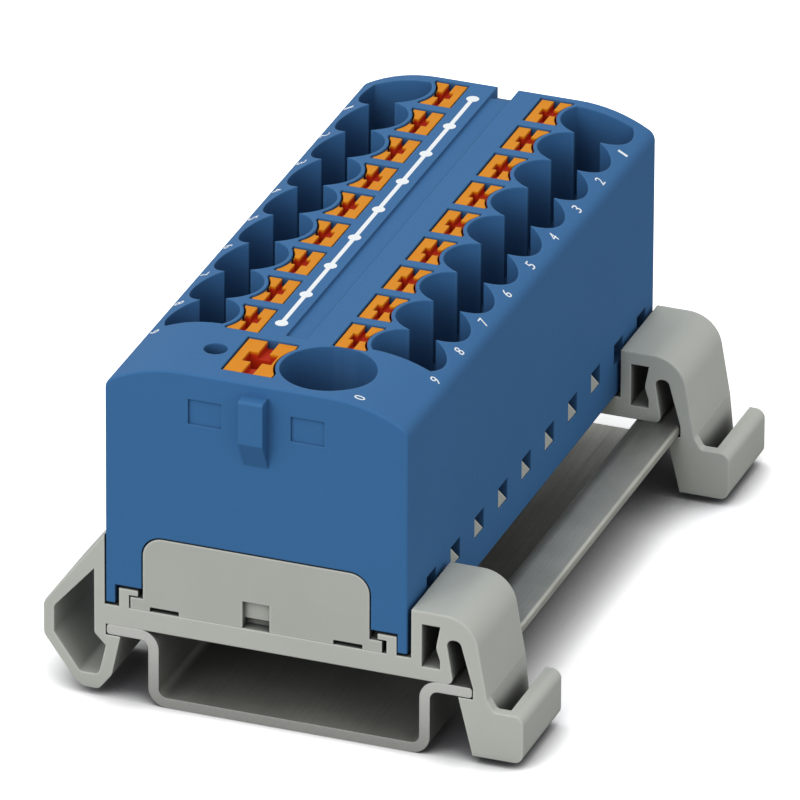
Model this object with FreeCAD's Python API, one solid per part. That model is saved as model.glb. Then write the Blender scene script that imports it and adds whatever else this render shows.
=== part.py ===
import FreeCAD, Part
import math

# Power distribution block on a short piece of top hat rail
# X runs across the rail, Y along it and Z up; the origin is the middle of the rail's underside
# Every length is in millimetres and every angle in degrees

# Rail section
rail_width = 35.0
rail_hat_width = 27.0
rail_height = 7.5
rail_sheet = 1.0
rail_bend = 0.8
rail_edge = 0.3

# Housing
block_length = 65.4
block_width = 28.9
block_height = 24.6
block_inset = 6.2
crown_flat = 14.0
crown_radius = 14.0
shell_corner = 0.2
shoulder_round = 1.2
side_wall = 1.2
front_wall = 1.2
rear_wall = 0.6
leg_wall = 0.9
leg_gap = 0.3
ceiling_depth = 11.5
seat_gap = 0.1
cutout_depth = 0.5

# Terminals, two rows of like places
places = 9
front_margin = 12.4
rear_margin = 3.4
cell_wall = 0.8
cell_edge = 12.45
common_height = 3.8

# Wire funnels
funnel_edge = 4.55
funnel_overlap = 0.6
funnel_inner_edge = 4.73
funnel_inner_overlap = 0.24
funnel_depth = 9.0
funnel_end = 2.0
entry_width = 3.4
entry_length = 3.8

# Small pushers
pusher_edge = 10.77
pusher_width = 2.95
pusher_spacing = 1.45
pusher_web = 0.35
pusher_gap = 0.2
pusher_travel = 1.4
pusher_room = 1.05
pusher_sink = 0.1
groove_width = 0.65
groove_depth = 0.7
pocket_width = 1.6
pocket_length = 1.3
pocket_depth = 2.2
collar_height = 1.0
collar_edge = 0.45
collar_gap = 0.1
tip_width = 1.6
spring_gap = 0.15
feed_pusher_room = 0.45

# Feed terminal
feed_x = 4.85
feed_front = 5.4
feed_radius = 4.4
feed_depth = 9.0
feed_entry = 3.2
feed_pusher_x = -3.95
feed_pusher_width = 4.6
feed_pusher_length = 6.6
feed_pocket_width = 2.8
feed_pocket_length = 2.0
feed_groove_width = 1.1
feed_cell_left = -8.0
feed_cell_right = 10.0
feed_cell_length = 7.8

# Test hole
test_x = -5.95
test_front = 5.5
test_radius = 1.1

# Marker channel
channel_width = 2.1
channel_depth = 0.3
channel_front = 10.2
channel_ramp = 2.2
channel_ramp_depth = 1.2

# Front rib and shallow front fields
rib_width = 2.35
rib_stand = 1.5
rib_low = 16.45
rib_high = 23.5
rib_chamfer = 0.2
rib_taper = 2.8
rib_root = 0.5
field_inner = 3.3
field_outer = 6.5
field_low = 19.6
field_high = 22.05
field_depth = 0.25

# Latch windows
window_length = 2.4
window_low = 3.45
window_height = 2.15
lug_setback = 0.05
finger_wall = 0.55
finger_gap = 0.1

# Base plate
base_thickness = 1.15
panel_margin = 3.6
panel_height = 7.45
panel_corner = 1.9
panel_gap = 0.15
tongue_margin = 2.4
notch_half = 1.3
notch_height = 2.7
notch_share = 0.55
notch_slot = 0.8
slit_margin = 0.65
slit_length = 2.8
slit_height = 0.45
bar_rib_half = 8.0
bar_rib_width = 1.2

# Current bar
bar_sheet = 0.8
bar_lift = 1.55
bar_headroom = 2.95
bar_margin = 2.1
bar_end_gap = 0.4
bar_slot_gap = 0.1
feed_tab_x = 7.8

# Clamp springs
spring_sheet = 0.4
spring_room = 1.0
spring_bend = 1.1
spring_reach = 6.3
spring_end = 1.0
spring_back_gap = 0.1
feed_spring_width = 6.0
feed_spring_bend = 1.5
feed_spring_reach = 7.2
feed_spring_end = 1.2

# Rail adapters
adapter_width = 10.0
adapter_plate = 2.0
adapter_strip = 1.0
adapter_side_gap = 0.25
adapter_shift = 0.15
rail_gap = 0.1
hook_margin = 1.15
hook_wall = 0.95
hook_reach = 1.8
hook_height = 1.85
hook_bar = 0.55
foot_lift = 0.75
claw_reach = 1.4

# Fixed loop on the left of each adapter
loop_height = 9.0
loop_room = 3.9
loop_shoulder = 1.2
loop_belly = 4.7
loop_sole_outer = 2.5
loop_sole_inner = 0.7
loop_round = 1.3
claw_lean = 0.55
claw_rise = 1.6
hollow_roof = 2.28
hollow_drop = 1.1
hollow_sole = 1.45
hollow_slack = 0.3
hollow_round = 0.6

# Sprung foot on the right of each adapter
clamp_height = 6.85
clamp_radius = 3.3
clamp_top_wall = 1.25
clamp_floor_wall = 1.35
clamp_leg = 1.35
spring_leg = 1.85
spring_leg_top = 2.6
spring_slot = 1.35
spring_slot_height = 4.5
spring_slot_round = 0.6
eye_reach = 3.55
eye_round = 1.5
eye_neck = 3.15
eye_neck_height = 2.2
foot_reach = 4.8
foot_height = 4.7
foot_heel = 2.0
foot_rise = 1.1
foot_round = 0.9
foot_web = 1.0
foot_pocket_depth = 3.3
foot_pocket_lean = 0.45
lip_wall = 1.5

# Overshoot of every cutting solid
over = 1.0


V = FreeCAD.Vector
half_length = block_length / 2
half_width = block_width / 2
block_shift = (rail_width - block_width) / 2 - block_inset
seat = rail_height + adapter_plate
crown = seat + block_height
ceiling = crown - ceiling_depth
inner_half = half_width - side_wall
cell_inner = half_width - cell_edge
funnel_reach = half_width - funnel_edge
funnel_inner_reach = half_width - funnel_inner_edge
pusher_reach = half_width - pusher_edge
panel_half = half_width - panel_margin
tongue_half = half_width - tongue_margin
slit_outer = panel_half - slit_margin
slit_inner = slit_outer - slit_length
bar_outer = half_width - bar_margin
hook_outer = half_width - hook_margin
hook_inner = hook_outer - hook_reach
base_top = seat + base_thickness
bar_low = base_top + bar_lift
bar_top = bar_low + bar_sheet
bar_height = ceiling - bar_low - bar_headroom
common_top = seat + common_height
end_zone = adapter_width + panel_gap
hook_top = seat + hook_height
rows = {"left": -1, "right": 1}
pitch = (block_length - front_margin - rear_margin) / (places - 1)
funnel_radius = (pitch + funnel_overlap) / 2
funnel_inner_radius = (pitch + funnel_inner_overlap) / 2
pusher_length = pitch - pusher_spacing
spring_width = pitch - cell_wall - spring_room
front_inner = front_wall - half_length
rear_inner = half_length - rear_wall
feed_y = feed_front - half_length
test_y = test_front - half_length
feed_axis = block_shift + feed_x
collar_top = ceiling - collar_gap
collar_low = collar_top - collar_height


# Helpers for profiles and solids

def box(x0, x1, y0, y1, z0, z1):
    return Part.makeBox(x1 - x0, y1 - y0, z1 - z0, V(x0, y0, z0))


def post(x, y, z0, z1, radius):
    return Part.makeCylinder(radius, z1 - z0, V(x, y, z0))


def unit(a, b):
    length = math.hypot(b[0] - a[0], b[1] - a[1])
    return ((b[0] - a[0]) / length, (b[1] - a[1]) / length)


def rounded_face(corners, place):
    """Closed face through corners (a, b, radius), with each corner rounded by its radius."""
    count = len(corners)
    joints = []
    for i in range(count):
        here = corners[i]
        back = unit(here, corners[i - 1])
        ahead = unit(here, corners[(i + 1) % count])
        radius = here[2]
        if radius <= 0:
            joints.append((here[:2], None, here[:2]))
            continue
        cosine = back[0] * ahead[0] + back[1] * ahead[1]
        half = math.acos(max(-1.0, min(1.0, cosine))) / 2
        run = radius / math.tan(half)
        middle = radius / math.sin(half) - radius
        mean = (back[0] + ahead[0], back[1] + ahead[1])
        size = math.hypot(mean[0], mean[1])
        start = (here[0] + back[0] * run, here[1] + back[1] * run)
        top = (here[0] + mean[0] / size * middle, here[1] + mean[1] / size * middle)
        end = (here[0] + ahead[0] * run, here[1] + ahead[1] * run)
        joints.append((start, top, end))
    edges = []
    for i in range(count):
        start, top, end = joints[i]
        if top is not None:
            edges.append(Part.Arc(place(start), place(top), place(end)).toShape())
        following = joints[(i + 1) % count][0]
        if math.hypot(following[0] - end[0], following[1] - end[1]) > 1e-6:
            edges.append(Part.LineSegment(place(end), place(following)).toShape())
    return Part.Face(Part.Wire(edges))


def along_y(corners, y0, y1):
    """Prism along Y whose section in XZ is given by its corners."""
    face = rounded_face(corners, lambda p: V(p[0], y0, p[1]))
    return face.extrude(V(0, y1 - y0, 0))


def along_x(corners, x0, x1):
    """Prism along X whose section in YZ is given by its corners."""
    face = rounded_face(corners, lambda p: V(x0, p[0], p[1]))
    return face.extrude(V(x1 - x0, 0, 0))


def strip(path, thickness):
    """Outline corners of a bent strip, from the corners (a, b, radius) of its middle line."""
    left = []
    right = []
    last = len(path) - 1
    for i, (a, b, radius) in enumerate(path):
        into = unit(path[i - 1], path[i]) if i > 0 else unit(path[0], path[1])
        out = unit(path[i], path[i + 1]) if i < last else unit(path[-2], path[-1])
        normal = (-into[1] - out[1], into[0] + out[0])
        size = math.hypot(normal[0], normal[1])
        normal = (normal[0] / size, normal[1] / size)
        miter = (thickness / 2) / (normal[1] * into[0] - normal[0] * into[1])
        turn = into[0] * out[1] - into[1] * out[0]
        side = math.copysign(thickness / 2, turn) if radius > 0 else 0
        left.append((a + normal[0] * miter, b + normal[1] * miter, radius - side if radius > 0 else 0))
        right.append((a - normal[0] * miter, b - normal[1] * miter, radius + side if radius > 0 else 0))
    return left + right[::-1]


def mirrored(corners, side):
    """The same corners for a row on the other side of the block."""
    return [(block_shift + side * a, b, r) for a, b, r in corners]


def save(shape, name):
    shape = shape.removeSplitter()
    shape.exportStep("parts/" + name + ".step")


def place_y(index):
    """Middle of a terminal along the rail, counted from the rear."""
    return half_length - rear_margin - index * pitch


def block_box(x0, x1, y0, y1, z0, z1):
    return box(block_shift + x0, block_shift + x1, y0, y1, z0, z1)


# Sizes of a small pusher and of the feed pusher, with the centre of the entry beside each

small_pusher = {
    "near": pusher_reach,
    "width": pusher_width,
    "length": pusher_length,
    "entry_x": funnel_inner_reach,
    "hollow": funnel_inner_radius + pusher_web + pusher_gap,
    "groove": groove_width,
    "pocket": (pocket_width, pocket_length),
}
large_pusher = {
    "near": feed_pusher_x,
    "width": feed_pusher_width,
    "length": feed_pusher_length,
    "entry_x": feed_x,
    "hollow": feed_radius + pusher_web + pusher_gap,
    "groove": feed_groove_width,
    "pocket": (feed_pocket_width, feed_pocket_length),
}


def side_box(side, near, far, y0, y1, z0, z1):
    """Box from near to far, measured outward from the block's middle on one side."""
    return block_box(min(side * near, side * far), max(side * near, side * far), y0, y1, z0, z1)


def pusher_section(size, side, y, grow, z0, z1):
    """Upright bar whose outer side is hollow around its entry, grown by a gap for its slot."""
    near = size["near"] - grow
    far = size["near"] + size["width"] + grow
    half = size["length"] / 2 + grow
    body = side_box(side, near, far, y - half, y + half, z0, z1)
    entry = post(block_shift + side * size["entry_x"], y, z0 - over, z1 + over, size["hollow"] - grow)
    return body.cut(entry)


def spring_path(back, room, bend, reach, end):
    """Middle line of a clamp spring that leaves the pusher's collar room at the end of its travel."""
    first = back + spring_sheet / 2
    top = collar_low - pusher_travel - room - spring_sheet / 2
    return [
        (first, bar_top, 0),
        (first, top, bend),
        (first + 2 * bend, top, bend),
        (first + reach, bar_top + end, 0),
    ]


def leg_height(path, x):
    """Height of the clamping leg's middle line at a distance x from the block's middle."""
    a = path[-2]
    b = path[-1]
    return a[1] + (b[1] - a[1]) * (x - a[0]) / (b[0] - a[0])


def leg_clear(path):
    """Vertical room that the sloping leg's upper face needs above its middle line."""
    a = path[-2]
    b = path[-1]
    slope = math.atan2(abs(b[1] - a[1]), abs(b[0] - a[0]))
    return spring_sheet / 2 / math.cos(slope)


small_path = spring_path(cell_inner + spring_back_gap, pusher_room, spring_bend, spring_reach, spring_end)
feed_back = feed_pusher_x - collar_edge - spring_sheet
feed_path = spring_path(feed_back, feed_pusher_room, feed_spring_bend, feed_spring_reach, feed_spring_end)


# Rail: one strip of sheet steel bent to a top hat

def make_rail():
    middle = rail_sheet / 2
    bend = rail_bend + middle
    foot = rail_hat_width / 2 - middle
    path = [
        (-rail_width / 2, rail_height - middle, 0),
        (-foot, rail_height - middle, bend),
        (-foot, middle, bend),
        (foot, middle, bend),
        (foot, rail_height - middle, bend),
        (rail_width / 2, rail_height - middle, 0),
    ]
    outline = [(a, b, r if r > 0 else rail_edge) for a, b, r in strip(path, rail_sheet)]
    return along_y(outline, -half_length, half_length)


# Rail adapter: one moulding with hooks for the block, a fixed loop and a sprung foot

def make_adapter(y0):
    y1 = y0 + adapter_width
    left = block_shift + adapter_shift - half_width - adapter_side_gap
    right = block_shift + adapter_shift + half_width + adapter_side_gap
    tip = rail_width / 2 + rail_gap
    under = rail_height - rail_sheet - rail_gap
    wall_x = min(left, -tip) - adapter_strip
    loop_x = wall_x - loop_room - adapter_strip
    loop_slope = (loop_height - loop_shoulder) / (left - loop_x)
    roof = rail_height + loop_height - loop_slope * (left - wall_x)
    clamp_top = rail_height + clamp_height
    slot_top = rail_height + spring_slot_height
    leg_x = tip + clamp_leg
    leg_foot = foot_lift + foot_height + foot_rise
    foot_x = tip + foot_reach
    foot_top = foot_lift + foot_height
    outline = [
        (left, seat, 0),
        (left, rail_height + loop_height, 0),
        (loop_x, rail_height + loop_shoulder, loop_round),
        (loop_x, foot_lift + loop_belly, loop_round),
        (-tip - loop_sole_outer, foot_lift, loop_round),
        (-tip - loop_sole_inner, foot_lift, loop_round / 2),
        (-tip + claw_lean, foot_lift + claw_rise, loop_round),
        (-tip + claw_reach, under, 0),
        (-tip, under, 0),
        (-tip, rail_height, 0),
        (tip - spring_leg, rail_height, spring_slot_round),
        (tip - spring_leg_top, slot_top, spring_slot_round),
        (tip - spring_leg_top + spring_slot, slot_top, spring_slot_round),
        (tip, rail_height, spring_slot_round),
        (tip, under, 0),
        (tip - claw_reach, under, 0),
        (tip, foot_lift, 0),
        (foot_x, foot_lift, foot_round),
        (foot_x, foot_top, foot_round),
        (tip + foot_heel, foot_top, foot_round / 2),
        (leg_x, leg_foot, foot_round),
        (tip, clamp_top, clamp_radius),
        (right, clamp_top, 0),
        (right, seat, 0),
    ]
    loop_hollow = [
        (wall_x, roof - hollow_roof, 0),
        (wall_x, under, hollow_round),
        (-tip, under - hollow_drop, 0),
        (-tip - loop_sole_inner, foot_lift + hollow_sole, hollow_round),
        (-tip - loop_sole_outer, foot_lift + hollow_sole, hollow_round),
        (loop_x + adapter_strip, foot_lift + loop_belly + hollow_slack, hollow_round),
        (loop_x + adapter_strip, rail_height + loop_shoulder - hollow_slack, hollow_round),
    ]
    clamp_hollow = [
        (right + adapter_strip, clamp_top - clamp_top_wall, 0),
        (tip - eye_neck, clamp_top - clamp_top_wall, 0),
        (tip - eye_reach, (clamp_top + rail_height) / 2, eye_round),
        (tip - eye_neck, rail_height + eye_neck_height, 0),
        (tip - eye_neck, rail_height + clamp_floor_wall, 0),
        (right + adapter_strip, rail_height + clamp_floor_wall, 0),
    ]
    pocket = [
        (leg_x, leg_foot, 0),
        (leg_x + foot_pocket_lean, foot_top - foot_pocket_depth, foot_round / 2),
        (foot_x - lip_wall, foot_top - foot_pocket_depth, foot_round / 2),
        (foot_x - lip_wall, leg_foot, 0),
    ]
    body = along_y(outline + adapter_hook(1) + adapter_hook(-1)[::-1], y0, y1)
    for hollow in (loop_hollow, clamp_hollow):
        body = body.cut(along_y(hollow, y0 - over, y1 + over))
    return body.cut(along_y(pocket, y0 + foot_web, y1 + over))


def adapter_hook(side):
    """Corners of the hook that holds down the base plate's tongue."""
    middle = block_shift + adapter_shift
    outer = middle + side * hook_outer
    upright = middle + side * (hook_outer - hook_wall)
    inner = middle + side * hook_inner
    return [
        (outer, seat, 0),
        (outer, hook_top, 0),
        (inner, hook_top, 0),
        (inner, hook_top - hook_bar, 0),
        (upright, hook_top - hook_bar, 0),
        (upright, seat, 0),
    ]


# Base plate: floor, upright end panels and latch fingers

def make_base():
    middle = half_length - end_zone
    floor_half = inner_half - seat_gap
    body = block_box(-tongue_half, tongue_half, -half_length, half_length, seat, base_top)
    body = body.fuse(block_box(-floor_half, floor_half, -middle, middle, seat, base_top))
    panel = [
        (block_shift - panel_half, seat, 0),
        (block_shift - panel_half, seat + panel_height, panel_corner),
        (block_shift + panel_half, seat + panel_height, panel_corner),
        (block_shift + panel_half, seat, 0),
    ]
    for y0, y1 in end_walls():
        body = body.fuse(along_y(panel, y0, y1))
    for side in (-1, 1):
        x0 = side * bar_rib_half - bar_rib_width / 2
        body = body.fuse(block_box(x0, x0 + bar_rib_width, front_inner, rear_inner, base_top, bar_low))
    for side in (-1, 1):
        for y in window_places():
            if abs(y) + window_length / 2 < middle:
                body = body.fuse(latch_finger(side, y))
    for (y0, y1), (y2, y3) in zip(end_walls(), notch_reach()):
        body = body.cut(block_box(-notch_half, notch_half, y0, y1, seat - over, seat + notch_slot))
        body = body.cut(block_box(-notch_half, notch_half, y2, y3, seat - over, seat + notch_height))
        for x0, x1 in ((slit_inner, slit_outer), (-slit_outer, -slit_inner)):
            body = body.cut(block_box(x0, x1, y0, y1, seat - over, seat + slit_height))
    return body


def end_walls(outward=0, inward=0):
    """Reach along Y of the front wall and of the rear wall, with what is added to each face."""
    return [(-half_length - outward, front_inner + inward), (rear_inner - inward, half_length + outward)]


def notch_reach():
    """Reach along Y of the recess in each end panel, over a share of the wall from its outer face."""
    return [(-half_length, notch_share * front_wall - half_length),
            (half_length - notch_share * rear_wall, half_length)]


def window_places():
    """Windows along a side: one for each terminal and one for the feed terminal."""
    return [place_y(i) for i in range(places + 1)]


def latch_finger(side, y):
    outer = inner_half - finger_gap
    inner = outer - finger_wall
    nose = half_width - lug_setback
    half = window_length / 2 - finger_gap
    low = seat + window_low + finger_gap
    high = low + window_height - 2 * finger_gap
    x0 = min(side * inner, side * outer)
    finger = block_box(x0, x0 + finger_wall, y - half, y + half, seat, high)
    lug = [(y - half, low, 0), (y + half, low, 0), (y - half, high, 0)]
    a = min(side * inner, side * nose)
    return finger.fuse(along_x(lug, block_shift + a, block_shift + a + nose - inner))


# Current bar: one folded copper channel that feeds both rows, with a tab for the feed terminal

def make_bar():
    front = front_inner + bar_end_gap
    rear = rear_inner - bar_end_gap
    row_front = place_y(places - 1) - (pitch - cell_wall) / 2 + bar_end_gap
    outer = bar_outer - bar_sheet / 2
    low = bar_low + bar_sheet / 2
    section = [
        (-outer, bar_low + bar_height, 0),
        (-outer, low, bar_sheet),
        (outer, low, bar_sheet),
        (outer, bar_low + bar_height, 0),
    ]
    shifted = [(block_shift + a, b, r) for a, b, r in section]
    body = along_y(strip(shifted, bar_sheet), row_front, rear)
    tab_reach = feed_tab_x + bar_sheet
    body = body.fuse(block_box(feed_back, tab_reach, front, row_front, bar_low, bar_top))
    tab_half = feed_spring_width / 2
    return body.fuse(block_box(feed_tab_x, tab_reach, feed_y - tab_half, feed_y + tab_half, bar_low,
                               bar_low + bar_height))


# Clamp springs: bent strips that press the wires against the bar

def make_spring(path, side, y, width):
    corners = mirrored(strip(path, spring_sheet), side)
    return along_y(corners, y - width / 2, y + width / 2)


# Pushers: head with a blade recess, collar under the ceiling and a tip on the spring

def make_pusher(size, side, y, path):
    top = crown - pusher_sink
    half = size["length"] / 2
    tip_out = size["near"] + size["width"] - tip_width / 2
    tip_in = tip_out - tip_width
    lift = leg_clear(path) + spring_gap
    tip = [
        (tip_in, collar_low, 0),
        (tip_in, leg_height(path, tip_in) + lift, 0),
        (tip_out, leg_height(path, tip_out) + lift, 0),
        (tip_out, collar_low, 0),
    ]
    body = pusher_section(size, side, y, 0, collar_low, top)
    body = body.fuse(side_box(side, size["near"] - collar_edge, tip_out, y - half, y + half, collar_low,
                              collar_top))
    body = body.fuse(along_y(mirrored(tip, side), y - half, y + half))
    middle = size["near"] + size["width"] / 2
    groove = size["groove"] / 2
    body = body.cut(side_box(side, middle - groove, middle + groove, y - half - over, y + half + over,
                             top - groove_depth, top + over))
    across = size["pocket"][0] / 2
    along = size["pocket"][1] / 2
    return body.cut(side_box(side, middle - across, middle + across, y - along, y + along,
                             top - pocket_depth, top + over))


# Housing: arched moulding with funnels, pusher slots, cells and latch windows

def housing_shell():
    """Prism under a crown whose arcs run into the side walls through small rounds."""
    half_flat = crown_flat / 2
    arc_z = crown - crown_radius
    reach = half_width - shoulder_round - half_flat
    rise = math.sqrt((crown_radius - shoulder_round) ** 2 - reach ** 2)
    steep = math.atan2(rise, reach)
    upper = (steep + math.pi / 2) / 2
    crown_middle = arc_point(half_flat, arc_z, crown_radius, upper)
    crown_end = arc_point(half_flat, arc_z, crown_radius, steep)
    round_middle = arc_point(half_flat + reach, arc_z + rise, shoulder_round, steep / 2)
    wall_end = (half_width, arc_z + rise)
    low = seat + leg_gap
    foot = (half_width, low)
    edges = [
        Part.LineSegment(shell_point(foot, -1), shell_point(foot, 1)).toShape(),
        Part.LineSegment(shell_point((half_flat, crown), 1), shell_point((half_flat, crown), -1)).toShape(),
    ]
    for side in (-1, 1):
        a, b, c = [shell_point(p, side) for p in (wall_end, round_middle, crown_end)]
        d, e = [shell_point(p, side) for p in (crown_middle, (half_flat, crown))]
        edges.append(Part.LineSegment(shell_point(foot, side), a).toShape())
        edges.append(Part.Arc(a, b, c).toShape())
        edges.append(Part.Arc(c, d, e).toShape())
    wire = Part.Wire(Part.__sortEdges__(edges))
    body = Part.Face(wire).extrude(V(0, block_length, 0))
    return body.makeFillet(shell_corner, [edge for edge in body.Edges if is_end_edge(edge)])


def arc_point(x, z, radius, angle):
    return (x + radius * math.cos(angle), z + radius * math.sin(angle))


def shell_point(point, side):
    """Point of the housing's front end, measured outward from the block's middle on one side."""
    return V(block_shift + side * point[0], -half_length, point[1])


def is_end_edge(edge):
    """True for the outline of both ends except its bottom."""
    bounds = edge.BoundBox
    return bounds.YMax - bounds.YMin < 1e-3 and bounds.ZMax > seat + block_height / 2


def front_rib():
    face = -half_length
    stand = face - rib_stand
    section = [
        (face + rib_root, seat + rib_low, 0),
        (face, seat + rib_low, 0),
        (stand, seat + rib_low + rib_taper, 0),
        (stand, seat + rib_high - rib_chamfer, 0),
        (stand + rib_chamfer, seat + rib_high, 0),
        (face + rib_root, seat + rib_high, 0),
    ]
    return along_x(section, block_shift - rib_width / 2, block_shift + rib_width / 2)


def funnel_row(side):
    """One row of overlapping wells, cut off flat at both ends, with a square entry in each floor."""
    floor = crown - funnel_depth
    top = crown + over
    middles = [place_y(i) for i in range(places)]
    front = middles[-1] - funnel_end
    rear = middles[0] + funnel_end
    x = block_shift + side * funnel_reach
    inner_x = block_shift + side * funnel_inner_reach
    outer = [post(x, y, floor, top, funnel_radius) for y in middles]
    inner = [post(inner_x, y, floor, top, funnel_inner_radius) for y in middles]
    outer_row = outer[0].multiFuse(outer[1:])
    outer_row = outer_row.common(side_box(side, funnel_reach, 2 * funnel_reach, front, rear, floor, top))
    inner_row = inner[0].multiFuse(inner[1:])
    inner_row = inner_row.common(side_box(side, 0, 2 * funnel_reach, front, rear, floor, top))
    across = entry_width / 2
    along = entry_length / 2
    low = ceiling - over
    entries = [box(x - across, x + across, y - along, y + along, low, floor + over) for y in middles]
    return outer_row.multiFuse([inner_row] + entries)


def cell_row(side):
    """Cells for the springs of one row, with the slot that the current bar's upright stands in."""
    half = (pitch - cell_wall) / 2
    cuts = []
    for i in range(places):
        y = place_y(i)
        rear = min(y + half, rear_inner)
        cuts.append(side_box(side, cell_inner, inner_half, y - half, rear, common_top - over, ceiling))
        cuts.append(pusher_section(small_pusher, side, y, pusher_gap, ceiling - over, crown + over))
    inner = bar_outer - bar_sheet - bar_slot_gap
    outer = bar_outer + bar_slot_gap
    front = place_y(places - 1) - half
    top = bar_low + bar_height + bar_slot_gap
    cuts.append(side_box(side, inner, outer, front, rear_inner, common_top - over, top))
    return cuts


def feed_cuts():
    """Cell, well, entry and pusher slot of the feed terminal, and the test hole beside it."""
    rear = front_inner + feed_cell_length
    test_axis = block_shift + test_x
    return [
        block_box(feed_cell_left, feed_cell_right, front_inner, rear, common_top - over, ceiling),
        pusher_section(large_pusher, 1, feed_y, pusher_gap, ceiling - over, crown + over),
        post(feed_axis, feed_y, crown - feed_depth, crown + over, feed_radius),
        post(feed_axis, feed_y, ceiling - over, crown, feed_entry),
        post(test_axis, test_y, ceiling - over, crown + over, test_radius),
    ]


def end_cuts():
    """Cut-outs for the base plate's panels and room for the rail adapters' hooks at both ends."""
    half = panel_half + panel_gap
    top = seat + panel_height + panel_gap
    round_corner = panel_corner + panel_gap
    panel = [
        (block_shift - half, seat - over, 0),
        (block_shift - half, top, round_corner),
        (block_shift + half, top, round_corner),
        (block_shift + half, seat - over, 0),
    ]
    leg = half_width - leg_wall
    hooks = end_zone + panel_gap
    cuts = [along_y(panel, y0, y1) for y0, y1 in end_walls(over, cutout_depth)]
    for y0, y1 in ((-half_length - over, hooks - half_length), (half_length - hooks, half_length + over)):
        cuts.append(block_box(-leg, leg, y0, y1, seat - over, hook_top + leg_gap))
    return cuts


def make_housing():
    body = housing_shell().fuse(front_rib())
    cuts = [block_box(-inner_half, inner_half, front_inner, rear_inner, seat - over, common_top)]
    cuts += feed_cuts() + end_cuts()
    half = window_length / 2
    low = seat + window_low
    for side in rows.values():
        cuts.append(funnel_row(side))
        cuts += cell_row(side)
        for y in window_places():
            cuts.append(side_box(side, inner_half - over, half_width + over, y - half, y + half, low,
                                 low + window_height))
        cuts.append(side_box(side, field_inner, field_outer, -half_length - over, field_depth - half_length,
                             seat + field_low, seat + field_high))
    channel = [
        (channel_front - half_length, crown + over, 0),
        (channel_front - half_length, crown - channel_depth, 0),
        (half_length - channel_ramp, crown - channel_depth, 0),
        (half_length, crown - channel_ramp_depth, 0),
        (half_length + over, crown - channel_ramp_depth, 0),
        (half_length + over, crown + over, 0),
    ]
    cuts.append(along_x(channel, block_shift - channel_width / 2, block_shift + channel_width / 2))
    return body.cut(cuts)


# Files

save(make_rail(), "din_rail")
save(make_adapter(-half_length), "rail_adapter_front")
save(make_adapter(half_length - adapter_width), "rail_adapter_rear")
save(make_base(), "base_plate")
save(make_bar(), "current_bar")
for row, side in rows.items():
    for i in range(places):
        number = places - i
        y = place_y(i)
        save(make_pusher(small_pusher, side, y, small_path), "pusher_%s_%d" % (row, number))
        save(make_spring(small_path, side, y, spring_width), "clamp_spring_%s_%d" % (row, number))
save(make_pusher(large_pusher, 1, feed_y, feed_path), "feed_pusher")
save(make_spring(feed_path, 1, feed_y, feed_spring_width), "feed_spring")
save(make_housing(), "housing")
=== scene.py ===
"""Power distribution block on a piece of mounting rail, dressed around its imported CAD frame."""
import math

import bpy
from mathutils import Matrix, Vector


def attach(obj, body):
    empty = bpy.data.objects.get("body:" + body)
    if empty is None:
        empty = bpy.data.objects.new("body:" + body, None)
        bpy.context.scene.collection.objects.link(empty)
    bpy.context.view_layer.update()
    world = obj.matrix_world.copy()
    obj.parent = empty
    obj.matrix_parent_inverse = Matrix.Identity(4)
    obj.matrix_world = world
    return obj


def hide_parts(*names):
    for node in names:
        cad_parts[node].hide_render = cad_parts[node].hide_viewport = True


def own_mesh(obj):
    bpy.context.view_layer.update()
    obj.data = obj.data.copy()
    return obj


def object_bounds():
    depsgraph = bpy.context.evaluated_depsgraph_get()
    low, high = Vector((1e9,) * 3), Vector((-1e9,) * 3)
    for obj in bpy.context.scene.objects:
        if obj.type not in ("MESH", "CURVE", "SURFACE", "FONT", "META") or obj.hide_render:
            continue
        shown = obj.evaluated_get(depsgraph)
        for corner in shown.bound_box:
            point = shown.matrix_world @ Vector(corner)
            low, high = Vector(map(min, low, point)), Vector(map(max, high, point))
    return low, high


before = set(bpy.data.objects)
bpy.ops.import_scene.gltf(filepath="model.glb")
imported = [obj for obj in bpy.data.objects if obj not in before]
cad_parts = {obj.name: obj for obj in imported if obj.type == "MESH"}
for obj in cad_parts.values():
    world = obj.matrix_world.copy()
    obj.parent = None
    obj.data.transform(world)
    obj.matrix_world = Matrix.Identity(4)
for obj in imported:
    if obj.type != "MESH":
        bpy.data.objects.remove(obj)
cad_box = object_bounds()


# Camera. It looks down on the feed end from the front right, from far off through a long lens,
# so that the arched top, the front face and the right side all show with little perspective.
view_aim = Vector((-0.001514, -0.0002, 0.017612))
view_distance = 1.4379
view_azimuth = math.radians(20.294)
view_elevation = math.radians(26.795)
view_roll = math.radians(0.315)
view_lens = 710.5
view_film = 36.0
view_depth = 20.0


def deselect():
    """Leaves nothing selected, because an operator acts on all that is."""
    bpy.ops.object.select_all(action="DESELECT")


view_turn = (Matrix.Rotation(view_azimuth, 4, "Z")
             @ Matrix.Rotation(math.radians(90.0) - view_elevation, 4, "X")
             @ Matrix.Rotation(view_roll, 4, "Z"))
view_place = view_aim + view_turn.to_3x3() @ Vector((0.0, 0.0, view_distance))
deselect()
bpy.ops.object.camera_add()
camera = bpy.context.object
camera.name = "camera"
camera.matrix_world = Matrix.Translation(view_place) @ view_turn
camera.data.sensor_width = view_film
camera.data.lens = view_lens
camera.data.clip_end = view_depth
bpy.context.scene.camera = camera
bpy.context.scene.view_settings.view_transform = "Standard"


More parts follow.
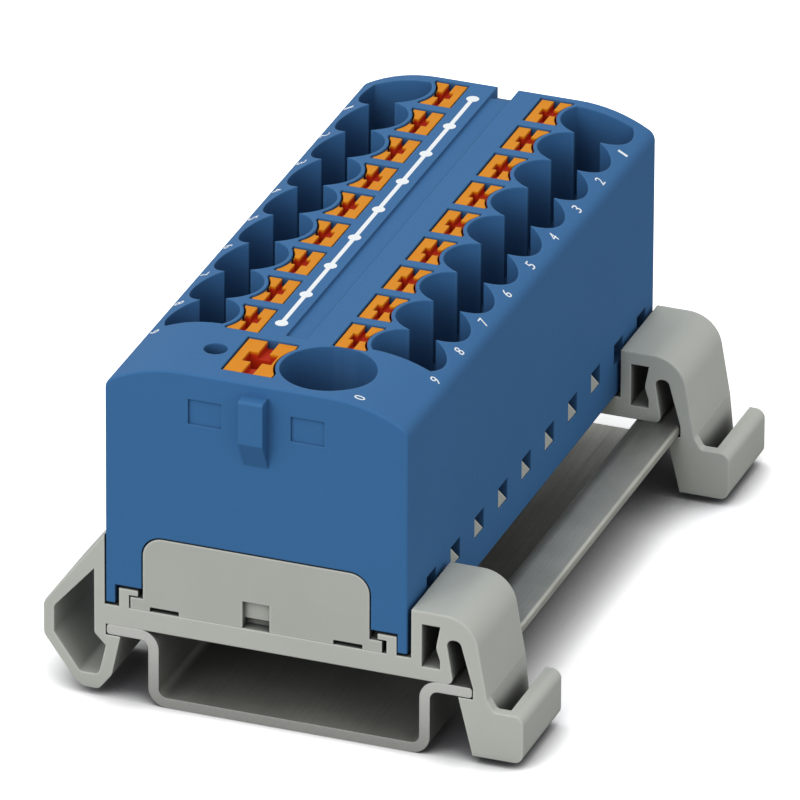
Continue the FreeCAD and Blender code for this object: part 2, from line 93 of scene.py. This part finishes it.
# Floor and room. A pale matt table top runs out of view on every side, under an even white room.
# The table shows white to the camera, but for a soft shadow within a few millimetres of what
# stands on it, painted into its colour by an ambient occlusion mask, and the one that the block
# throws to the right.
table_size = 6.0
table_seen = (1.75, 1.75, 1.76, 1.0)
table_shade = (0.16, 0.16, 0.17, 1.0)
table_colour = (0.33, 0.33, 0.33, 1.0)
table_reach = 0.008
table_shut = 0.25
table_open = 0.85
table_samples = 16
room_white = (1.0, 1.0, 1.0, 1.0)
room_level = 0.83
room_seen_level = 1.0


def feed(tree, value, socket):
    """Leads a node's output to the socket, or sets the socket to a plain value."""
    if isinstance(value, bpy.types.NodeSocket):
        tree.links.new(value, socket)
    else:
        socket.default_value = value


def add_math(tree, operation, first, second):
    """A Math node on two sockets or numbers. Returns its output."""
    node = tree.nodes.new("ShaderNodeMath")
    node.operation = operation
    feed(tree, first, node.inputs[0])
    feed(tree, second, node.inputs[1])
    return node.outputs[0]


def add_range(tree, value, low, high, to_low, to_high):
    """A clamped Map Range node on the value. Returns its output."""
    node = tree.nodes.new("ShaderNodeMapRange")
    feed(tree, value, node.inputs["Value"])
    feed(tree, low, node.inputs["From Min"])
    feed(tree, high, node.inputs["From Max"])
    feed(tree, to_low, node.inputs["To Min"])
    feed(tree, to_high, node.inputs["To Max"])
    return node.outputs[0]


def add_mix(tree, mask, first, second):
    """A colour Mix node, each side a socket or a colour. Returns its colour."""
    node = tree.nodes.new("ShaderNodeMix")
    node.data_type = "RGBA"
    feed(tree, mask, node.inputs[0])
    feed(tree, first, node.inputs[6])
    feed(tree, second, node.inputs[7])
    return node.outputs[2]


deselect()
bpy.ops.mesh.primitive_plane_add(size=table_size, location=(0.0, 0.0, cad_box[0].z))
table = bpy.context.object
table.name = "table"
bpy.ops.object.transform_apply(location=True, rotation=True, scale=True)

table_paint = bpy.data.materials.new("table_paint")
table_paint.use_nodes = True
tree = table_paint.node_tree
tree.nodes.clear()
# Painted shadow: near what stands on the table, its colour darkens towards table_shade.
table_nook = tree.nodes.new("ShaderNodeAmbientOcclusion")
table_nook.samples = table_samples
table_nook.inputs["Distance"].default_value = table_reach
table_clear = add_range(tree, table_nook.outputs["AO"], table_shut, table_open, 0.0, 1.0)
table_ray = tree.nodes.new("ShaderNodeLightPath")
tone = add_mix(tree, table_clear, table_shade, table_seen)
tone = add_mix(tree, table_ray.outputs["Is Camera Ray"], table_colour, tone)
table_matt = tree.nodes.new("ShaderNodeBsdfDiffuse")
table_out = tree.nodes.new("ShaderNodeOutputMaterial")
tree.links.new(tone, table_matt.inputs["Color"])
tree.links.new(table_matt.outputs[0], table_out.inputs["Surface"])
table.data.materials.append(table_paint)

room = bpy.data.worlds.new("room")
room.use_nodes = True
tree = room.node_tree
tree.nodes.clear()
room_ray = tree.nodes.new("ShaderNodeLightPath")
room_seen = add_math(tree, "MAXIMUM", room_ray.outputs["Is Camera Ray"],
                     room_ray.outputs["Is Glossy Ray"])
room_seen = add_math(tree, "MAXIMUM", room_seen, room_ray.outputs["Is Transmission Ray"])
room_light = tree.nodes.new("ShaderNodeBackground")
room_light.inputs["Color"].default_value = room_white
room_out = tree.nodes.new("ShaderNodeOutputWorld")
tree.links.new(add_range(tree, room_seen, 0.0, 1.0, room_level, room_seen_level),
               room_light.inputs["Strength"])
tree.links.new(room_light.outputs[0], room_out.inputs["Surface"])
bpy.context.scene.world = room


# Lamp. One large soft box hangs high in front, a little to the left, so that the arch is
# brightest, the front face is next and the long right side is the darkest.
lamp_place = Vector((-0.28, -1.10, 0.80))
lamp_aim = Vector((0.0, 0.0, 0.015))
lamp_size = 0.90
lamp_power = 7.3

deselect()
bpy.ops.object.light_add(type="AREA", location=lamp_place)
lamp = bpy.context.object
lamp.name = "soft_box"
lamp.data.shape = "SQUARE"
lamp.data.size = lamp_size
lamp.data.energy = lamp_power
lamp.rotation_euler = (lamp_aim - lamp_place).to_track_quat("-Z", "Y").to_euler()


# Housing. One blue polyamide moulding with an arched top, eighteen overlapping wells and slots
# for the pushers. It is sparked matt in the tool, its edges are paler from rubbing and painted
# highlight, its wells are darkened with painted shade, and it snaps over the base plate.
housing_blue = (0.0445, 0.152, 0.345, 1.0)
housing_pale = (0.085, 0.240, 0.470, 1.0)
housing_deep = (0.037, 0.128, 0.295, 1.0)
housing_shade = (0.026, 0.050, 0.115, 1.0)
housing_edge = 0.00020
housing_rough = (0.50, 0.64)
housing_ior = 1.46
housing_gloss = 0.10
mask_samples = 6

# Nearly all values of a noise lie between these two.
noise_low = 0.3
noise_high = 0.7


def add_noise(tree, place, scale, detail, rough=0.5, twist=0.0):
    """A Noise Texture on the given coordinates. Returns its value."""
    node = tree.nodes.new("ShaderNodeTexNoise")
    feed(tree, place, node.inputs["Vector"])
    feed(tree, scale, node.inputs["Scale"])
    feed(tree, detail, node.inputs["Detail"])
    feed(tree, rough, node.inputs["Roughness"])
    feed(tree, twist, node.inputs["Distortion"])
    return node.outputs[0]


def add_place(tree):
    """The place on the piece, in metres from the object's origin."""
    return tree.nodes.new("ShaderNodeTexCoord").outputs["Object"]


def start_group(name, inputs, outputs):
    """An empty node group with number inputs, its entry node and its exit node."""
    group = bpy.data.node_groups.new(name, "ShaderNodeTree")
    for label, value in inputs:
        socket = group.interface.new_socket(name=label, in_out="INPUT",
                                            socket_type="NodeSocketFloat")
        socket.default_value = value
    for label, kind in outputs:
        group.interface.new_socket(name=label, in_out="OUTPUT", socket_type=kind)
    return group, group.nodes.new("NodeGroupInput"), group.nodes.new("NodeGroupOutput")


# Every edge of a moulding or a pressing is a little round, and where it stands out it is tinted
# paler, partly as rubbing and partly as painted highlight.
edge_smooth = 0.98
edge_sharp = 0.55

soft_edge, edge_in, edge_out = start_group(
    "soft_edge",
    (("Width", 0.0002),),
    (("Normal", "NodeSocketVector"), ("Rub and highlight", "NodeSocketFloat")))
edge_round = soft_edge.nodes.new("ShaderNodeBevel")
edge_round.samples = mask_samples
edge_reach = soft_edge.nodes.new("ShaderNodeAmbientOcclusion")
edge_reach.samples = mask_samples
edge_reach.inside = True
edge_reach.only_local = True
edge_rub_and_highlight = add_range(soft_edge, edge_reach.outputs["AO"], edge_smooth, edge_sharp, 0.0, 1.0)
soft_edge.links.new(edge_in.outputs["Width"], edge_round.inputs["Radius"])
soft_edge.links.new(edge_in.outputs["Width"], edge_reach.inputs["Distance"])
soft_edge.links.new(edge_round.outputs[0], edge_out.inputs["Normal"])
soft_edge.links.new(edge_rub_and_highlight, edge_out.inputs["Rub and highlight"])

# The tool's sparked grain, the slow drift of colour where the melt has flowed, and a few paler
# specks.
speck_scale = 900.0
speck_rim = 0.16
speck_core = 0.05

moulded, moulded_in, moulded_out = start_group(
    "moulded",
    (("Grain", 6500.0), ("Flow", 70.0)),
    (("Grain", "NodeSocketFloat"), ("Flow", "NodeSocketFloat"), ("Speck", "NodeSocketFloat")))
moulded_place = add_place(moulded)
grain = add_noise(moulded, moulded_place, moulded_in.outputs["Grain"], detail=3.0, rough=0.6)
flow = add_noise(moulded, moulded_place, moulded_in.outputs["Flow"], detail=4.0, twist=1.2)
flow = add_range(moulded, flow, noise_low, noise_high, 0.0, 1.0)
speck = moulded.nodes.new("ShaderNodeTexVoronoi")
speck.inputs["Scale"].default_value = speck_scale
moulded.links.new(moulded_place, speck.inputs["Vector"])
speck = add_range(moulded, speck.outputs["Distance"], speck_rim, speck_core, 0.0, 1.0)
moulded.links.new(grain, moulded_out.inputs["Grain"])
moulded.links.new(flow, moulded_out.inputs["Flow"])
moulded.links.new(speck, moulded_out.inputs["Speck"])

# Slits, hook gaps and wells lie in their own shadow. This group paints that shade into their
# colour, deeper where ambient occlusion finds them more enclosed.
nook, nook_in, nook_out = start_group(
    "nook",
    (("Reach", 0.0015), ("Open", 0.45), ("Shut", 0.10)),
    (("Shade", "NodeSocketFloat"),))
nook_reach = nook.nodes.new("ShaderNodeAmbientOcclusion")
nook_reach.samples = mask_samples
nook_shade = add_range(nook, nook_reach.outputs["AO"],
                       nook_in.outputs["Open"], nook_in.outputs["Shut"], 0.0, 1.0)
nook.links.new(nook_in.outputs["Reach"], nook_reach.inputs["Distance"])
nook.links.new(nook_shade, nook_out.inputs["Shade"])


def place_group(tree, group, **values):
    """A node that uses the group, with its inputs set."""
    node = tree.nodes.new("ShaderNodeGroup")
    node.node_tree = group
    for label, value in values.items():
        node.inputs[label].default_value = value
    return node


def start_material(name):
    """A material with a Principled shader, its node tree and the shader."""
    material = bpy.data.materials.new(name)
    material.use_nodes = True
    return material, material.node_tree, material.node_tree.nodes["Principled BSDF"]


def tint(tree, tone, mask, weight, colour):
    """The tone moved towards a colour, by the mask times a weight."""
    return add_mix(tree, add_math(tree, "MULTIPLY", mask, weight), tone, colour)


def add_finish(tree, shader, tone, grain, rough):
    """Leads the colour to the shader, and a roughness that follows the grain."""
    tree.links.new(tone, shader.inputs["Base Color"])
    tree.links.new(add_range(tree, grain, noise_low, noise_high, *rough),
                   shader.inputs["Roughness"])


def add_bump(tree, shader, height, normal, depth, strength):
    """Leads the bump that the height gives to the shader, over a rounded edge's normal if any."""
    bump = tree.nodes.new("ShaderNodeBump")
    bump.inputs["Strength"].default_value = strength
    bump.inputs["Distance"].default_value = depth
    tree.links.new(height, bump.inputs["Height"])
    if normal:
        tree.links.new(normal, bump.inputs["Normal"])
    tree.links.new(bump.outputs[0], shader.inputs["Normal"])


def dress(names, material):
    """Gives the material to the CAD nodes of these names."""
    for name in names:
        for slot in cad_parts[name].material_slots:
            slot.material = material


housing_moulding, tree, shader = start_material("housing_moulding")
edge = place_group(tree, soft_edge, Width=housing_edge)
skin = place_group(tree, moulded, Grain=6500.0, Flow=70.0)
well = place_group(tree, nook, Reach=0.012, Open=0.62, Shut=0.22)
tone = tint(tree, housing_blue, skin.outputs["Flow"], weight=0.20, colour=housing_deep)
tone = tint(tree, tone, skin.outputs["Speck"], weight=0.10, colour=housing_pale)
# Painted highlight and rubbing: edges that stand out are tinted paler.
tone = tint(tree, tone, edge.outputs["Rub and highlight"], weight=0.20, colour=housing_pale)
# Painted shade: the wells darken towards housing_shade where ambient occlusion finds them
# enclosed.
tone = tint(tree, tone, well.outputs["Shade"], weight=0.60, colour=housing_shade)
add_finish(tree, shader, tone, skin.outputs["Grain"], housing_rough)
add_bump(tree, shader, skin.outputs["Grain"], edge.outputs["Normal"], depth=0.00001, strength=0.6)
shader.inputs["IOR"].default_value = housing_ior
shader.inputs["Specular IOR Level"].default_value = housing_gloss
dress(["housing"], housing_moulding)


# Printed line. White ink laid along the left of the marker channel by pad printing, with a dot at
# each of the nine places, which shows that all of them are joined inside. It is a few hundredths
# of a millimetre thick.
block_middle = -0.00315
block_crown = 0.0341
place_count = 9
place_pitch = 0.0062
front_place = -0.0203
rear_place = 0.0293
ink_white = (0.860, 0.895, 0.915, 1.0)
ink_thin = (0.330, 0.480, 0.620, 1.0)
ink_rough = (0.42, 0.60)
ink_gloss = 0.30
ink_lift = 0.000014
line_lift = 0.000016
line_side = -0.00228
line_width = 0.00042
dot_width = 0.00120
dot_corners = 32

ink_print, tree, shader = start_material("ink_print")
skin = place_group(tree, moulded, Grain=9000.0, Flow=700.0)
worn = add_range(tree, skin.outputs["Grain"], low=0.58, high=0.72, to_low=0.0, to_high=0.6)
tree.links.new(add_mix(tree, worn, ink_white, ink_thin), shader.inputs["Base Color"])
tree.links.new(add_range(tree, skin.outputs["Flow"], 0.0, 1.0, *ink_rough),
               shader.inputs["Roughness"])
add_bump(tree, shader, skin.outputs["Grain"], None, depth=0.000004, strength=0.4)
shader.inputs["Specular IOR Level"].default_value = ink_gloss


def settle(piece, name, material):
    """Gives the piece its name and its material, and moves its place into its mesh."""
    deselect()
    piece.select_set(True)
    bpy.context.view_layer.objects.active = piece
    bpy.ops.object.transform_apply(location=True, rotation=True, scale=True)
    piece.name = name
    piece.data.name = name
    piece.data.materials.clear()
    piece.data.materials.append(material)


deselect()
bpy.ops.mesh.primitive_cylinder_add(
    vertices=dot_corners, radius=dot_width / 2, depth=2 * ink_lift,
    location=(block_middle + line_side, front_place, block_crown))
printed_line = bpy.context.object
settle(printed_line, "printed_line", ink_print)
bpy.ops.object.mode_set(mode="EDIT")
for number in range(place_count - 1):
    bpy.ops.mesh.duplicate()
    bpy.ops.transform.translate(value=(0.0, place_pitch, 0.0))
bpy.ops.mesh.primitive_cube_add(
    size=1.0, location=(block_middle + line_side, (front_place + rear_place) / 2, block_crown),
    scale=(line_width, rear_place - front_place, 2 * line_lift))
bpy.ops.object.mode_set(mode="OBJECT")
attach(printed_line, "block")


# Printed numbers. Small white digits pad printed on the shoulders of the crown, one in front of
# each well, with their feet to the outside. The two rows are numbered alike from the rear, and
# the feed is 0.
digit_height = 0.00102
digit_width = 0.00066
digit_curve_steps = 3
digit_raw_depth = 0.5
digit_side = 0.0135
digit_set = -0.0028
feed_digit_side = 0.00939
feed_digit_place = -0.03131
crown_flat = 0.0070
crown_radius = 0.0140
smooth_angle = math.radians(30.0)


def crown_place(side):
    """The crown's height and slope at a distance from the block's middle."""
    run = max(abs(side) - crown_flat, 0.0)
    slope = math.asin(run / crown_radius)
    return block_crown - crown_radius * (1.0 - math.cos(slope)), slope


def close_seams(gap):
    """Merges the doubles of the active mesh and shades it smooth up to its sharp edges."""
    bpy.ops.object.mode_set(mode="EDIT")
    bpy.ops.mesh.select_all(action="SELECT")
    bpy.ops.mesh.remove_doubles(threshold=gap)
    bpy.ops.object.mode_set(mode="OBJECT")
    bpy.ops.mesh.customdata_custom_splitnormals_clear()
    bpy.ops.object.shade_smooth_by_angle(angle=smooth_angle)


def print_digit(text, name, side, place):
    """One digit as a mesh, lying on the crown with its head towards the block's middle."""
    deselect()
    bpy.ops.object.text_add()
    digit = bpy.context.object
    digit.data.body = text
    digit.data.align_x = "CENTER"
    digit.data.align_y = "CENTER"
    digit.data.resolution_u = digit_curve_steps
    digit.data.extrude = digit_raw_depth
    bpy.ops.object.convert(target="MESH")
    close_seams(gap=0.0001)
    digit = bpy.context.object
    corners = [vertex.co for vertex in digit.data.vertices]
    low = Vector(min(corner[axis] for corner in corners) for axis in range(3))
    high = Vector(max(corner[axis] for corner in corners) for axis in range(3))
    size = high - low
    width = digit_width / 2 if text == "1" else digit_width
    digit.scale = (width / size.x, digit_height / size.y, 2 * ink_lift / size.z)
    bpy.ops.object.transform_apply(location=False, rotation=False, scale=True)
    level, slope = crown_place(side)
    way = 1.0 if side > 0 else -1.0
    along = Vector((0.0, way, 0.0))
    up = Vector((-way * math.cos(slope), 0.0, math.sin(slope)))
    out = along.cross(up)
    turn = Matrix((along, up, out)).transposed().to_4x4()
    digit.matrix_world = Matrix.Translation((block_middle + side, place, level)) @ turn
    settle(digit, name, ink_print)
    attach(digit, "block")


for number in range(1, place_count + 1):
    place = rear_place - (number - 1) * place_pitch + digit_set
    print_digit(str(number), "printed_right_%d" % number, digit_side, place)
    print_digit(str(number), "printed_left_%d" % number, -digit_side, place)
print_digit("0", "printed_feed", feed_digit_side, feed_digit_place)


# Pushers. Orange mouldings with a cross cut for a screwdriver's blade, sprung upwards by their
# clamps. The plastic is orange on top, and painted shade turns it dark red down in the cut.
pusher_orange = (0.690, 0.235, 0.003, 1.0)
pusher_pale = (0.760, 0.340, 0.020, 1.0)
pusher_cut_shade = (0.520, 0.030, 0.008, 1.0)
pusher_edge = 0.00012
pusher_rough = (0.42, 0.56)
pusher_gloss = 0.10
pusher_top = 0.0340
cut_start = 0.00005
cut_full = 0.00035
pusher_names = [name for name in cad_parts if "pusher" in name]

pusher_moulding, tree, shader = start_material("pusher_moulding")
edge = place_group(tree, soft_edge, Width=pusher_edge)
skin = place_group(tree, moulded, Grain=9000.0, Flow=260.0)
height = tree.nodes.new("ShaderNodeSeparateXYZ")
tree.links.new(add_place(tree), height.inputs[0])
cut = add_range(tree, height.outputs["Z"], pusher_top - cut_start, pusher_top - cut_full, 0.0, 1.0)
tone = tint(tree, pusher_orange, skin.outputs["Flow"], weight=0.25, colour=pusher_pale)
# Painted highlight and rubbing: edges that stand out are tinted paler.
tone = tint(tree, tone, edge.outputs["Rub and highlight"], weight=0.35, colour=pusher_pale)
# Painted shade: below the top, down in the cut, the colour turns dark red.
tone = add_mix(tree, cut, tone, pusher_cut_shade)
add_finish(tree, shader, tone, skin.outputs["Grain"], pusher_rough)
add_bump(tree, shader, skin.outputs["Grain"], edge.outputs["Normal"], depth=0.000008, strength=0.5)
shader.inputs["Specular IOR Level"].default_value = pusher_gloss
dress(pusher_names, pusher_moulding)


# Base plate and rail adapters. Light grey polyamide mouldings, the plate a shade darker than the
# adapters. The plate closes the housing from below with its two end panels, and the adapters
# hook over its tongues and clip on the rail.
plate_grey = (0.450, 0.464, 0.426, 1.0)
plate_dull = (0.395, 0.408, 0.372, 1.0)
adapter_grey = (0.500, 0.520, 0.475, 1.0)
adapter_dull = (0.430, 0.448, 0.405, 1.0)
grey_pale = (0.680, 0.695, 0.650, 1.0)
grey_shade = (0.120, 0.124, 0.114, 1.0)
grey_dark = (0.030, 0.031, 0.028, 1.0)
grey_edge = 0.00022
grey_rough = (0.46, 0.60)
grey_gloss = 0.25


def grey_finish(name, grey, dull):
    """Sparked grey polyamide with edges paler from rubbing and painted highlight, and painted
    shade that darkens its hollows and turns its slits black.
    """
    material, tree, shader = start_material(name)
    edge = place_group(tree, soft_edge, Width=grey_edge)
    skin = place_group(tree, moulded, Grain=5200.0, Flow=90.0)
    hollow = place_group(tree, nook, Reach=0.010, Open=0.60, Shut=0.15)
    slit = place_group(tree, nook, Reach=0.0028, Open=0.66, Shut=0.20)
    tone = tint(tree, grey, skin.outputs["Flow"], weight=0.35, colour=dull)
    tone = tint(tree, tone, skin.outputs["Speck"], weight=0.07, colour=grey_pale)
    # Painted highlight and rubbing: edges that stand out are tinted paler.
    tone = tint(tree, tone, edge.outputs["Rub and highlight"], weight=0.60, colour=grey_pale)
    # Painted shade: hollows darken towards grey_shade and slits turn nearly black.
    tone = tint(tree, tone, hollow.outputs["Shade"], weight=0.62, colour=grey_shade)
    tone = add_mix(tree, slit.outputs["Shade"], tone, grey_dark)
    add_finish(tree, shader, tone, skin.outputs["Grain"], grey_rough)
    add_bump(tree, shader, skin.outputs["Grain"], edge.outputs["Normal"],
             depth=0.000012, strength=0.6)
    shader.inputs["Specular IOR Level"].default_value = grey_gloss
    return material


dress(["base_plate"], grey_finish("plate_moulding", plate_grey, plate_dull))
dress(["rail_adapter_front", "rail_adapter_rear"],
      grey_finish("adapter_moulding", adapter_grey, adapter_dull))


# Rail. A 35 by 7.5 mm top hat section, rolled from 1 mm zinc-plated steel strip and sawn to
# length. The plating is matt with fine lines from the rolls, and the sawn ends are bare.
rail_zinc = (0.520, 0.525, 0.470, 1.0)
rail_dull = (0.400, 0.405, 0.360, 1.0)
rail_bare = (0.640, 0.645, 0.610, 1.0)
rail_shade = (0.060, 0.061, 0.058, 1.0)
rail_edge = 0.00012
rail_rough = (0.40, 0.56)
rail_plated_metal = 0.45
rail_sawn_metal = 0.20
spangle_scale = 160.0


def add_lines(tree, stretch, scale, detail):
    """Fine lines from rolls or a die, along the axis where the stretch is small."""
    drawn = tree.nodes.new("ShaderNodeMapping")
    drawn.inputs["Scale"].default_value = stretch
    tree.links.new(add_place(tree), drawn.inputs["Vector"])
    return add_noise(tree, drawn.outputs[0], scale, detail, rough=0.6)


rail_plating, tree, shader = start_material("rail_plating")
edge = place_group(tree, soft_edge, Width=rail_edge)
hollow = place_group(tree, nook, Reach=0.014, Open=0.80, Shut=0.38)
lines = add_lines(tree, (1.0, 0.02, 1.0), scale=4200.0, detail=4.0)
spangle = add_noise(tree, add_place(tree), spangle_scale, detail=2.0)
spangle = add_range(tree, spangle, low=0.35, high=0.65, to_low=0.0, to_high=1.0)
facing = tree.nodes.new("ShaderNodeSeparateXYZ")
tree.links.new(tree.nodes.new("ShaderNodeNewGeometry").outputs["True Normal"], facing.inputs[0])
sawn = add_math(tree, "ABSOLUTE", facing.outputs["Y"], 0.0)
sawn = add_range(tree, sawn, low=0.85, high=0.95, to_low=0.0, to_high=1.0)
marks = add_range(tree, lines, low=0.45, high=0.75, to_low=0.0, to_high=0.35)
tone = add_mix(tree, spangle, rail_zinc, rail_dull)
tone = add_mix(tree, marks, tone, rail_dull)
tone = add_mix(tree, sawn, tone, rail_bare)
# Painted shade: where ambient occlusion finds the rail enclosed, as under the plate, its colour
# darkens towards rail_shade.
tone = tint(tree, tone, hollow.outputs["Shade"], weight=0.85, colour=rail_shade)
add_finish(tree, shader, tone, lines, rail_rough)
add_bump(tree, shader, lines, edge.outputs["Normal"], depth=0.000006, strength=0.5)
tree.links.new(add_range(tree, sawn, 0.0, 1.0, rail_plated_metal, rail_sawn_metal),
               shader.inputs["Metallic"])
dress(["din_rail"], rail_plating)


# Current bar. One channel of half-hard copper, blanked and folded, that lies on the base plate's
# ribs. It has the soft brown tint of bare copper in air, with drawing lines along its length.
bar_copper = (0.690, 0.360, 0.210, 1.0)
bar_tarnish = (0.420, 0.190, 0.110, 1.0)
bar_edge = 0.00010
bar_rough = (0.26, 0.42)

bar_finish, tree, shader = start_material("bar_finish")
edge = place_group(tree, soft_edge, Width=bar_edge)
lines = add_lines(tree, (1.0, 0.03, 1.0), scale=5000.0, detail=3.0)
skin = place_group(tree, moulded, Grain=5200.0, Flow=180.0)
tone = tint(tree, bar_copper, skin.outputs["Flow"], weight=0.6, colour=bar_tarnish)
add_finish(tree, shader, tone, lines, bar_rough)
add_bump(tree, shader, lines, edge.outputs["Normal"], depth=0.000005, strength=0.5)
shader.inputs["Metallic"].default_value = 1.0
dress(["current_bar"], bar_finish)


# Clamp springs. Bent strips of stainless spring steel, one under each pusher, standing on the bar.
# They have fine lines along the strip and a faint straw tint from tempering. Each is a copy of
# its solid, which is hidden.
spring_steel = (0.560, 0.550, 0.520, 1.0)
spring_straw = (0.500, 0.440, 0.340, 1.0)
spring_edge = 0.00008
spring_rough = (0.22, 0.36)
spring_names = [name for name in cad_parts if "spring" in name]

spring_finish, tree, shader = start_material("spring_finish")
edge = place_group(tree, soft_edge, Width=spring_edge)
lines = add_lines(tree, (0.05, 1.0, 0.05), scale=6000.0, detail=3.0)
skin = place_group(tree, moulded, Grain=5200.0, Flow=300.0)
tone = add_mix(tree, skin.outputs["Flow"], spring_steel, spring_straw)
add_finish(tree, shader, tone, lines, spring_rough)
add_bump(tree, shader, lines, edge.outputs["Normal"], depth=0.000004, strength=0.5)
shader.inputs["Metallic"].default_value = 1.0
for name in spring_names:
    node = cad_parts[name]
    strip = bpy.data.objects.new(name, node.data.copy())
    bpy.context.scene.collection.objects.link(strip)
    strip.matrix_world = node.matrix_world.copy()
    strip_name = name.replace("clamp_spring", "spring_strip")
    strip_name = strip_name.replace("feed_spring", "spring_strip_feed")
    settle(strip, strip_name, spring_finish)
    close_seams(gap=0.000001)
    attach(strip, "block")
    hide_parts(name)
    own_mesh(strip)
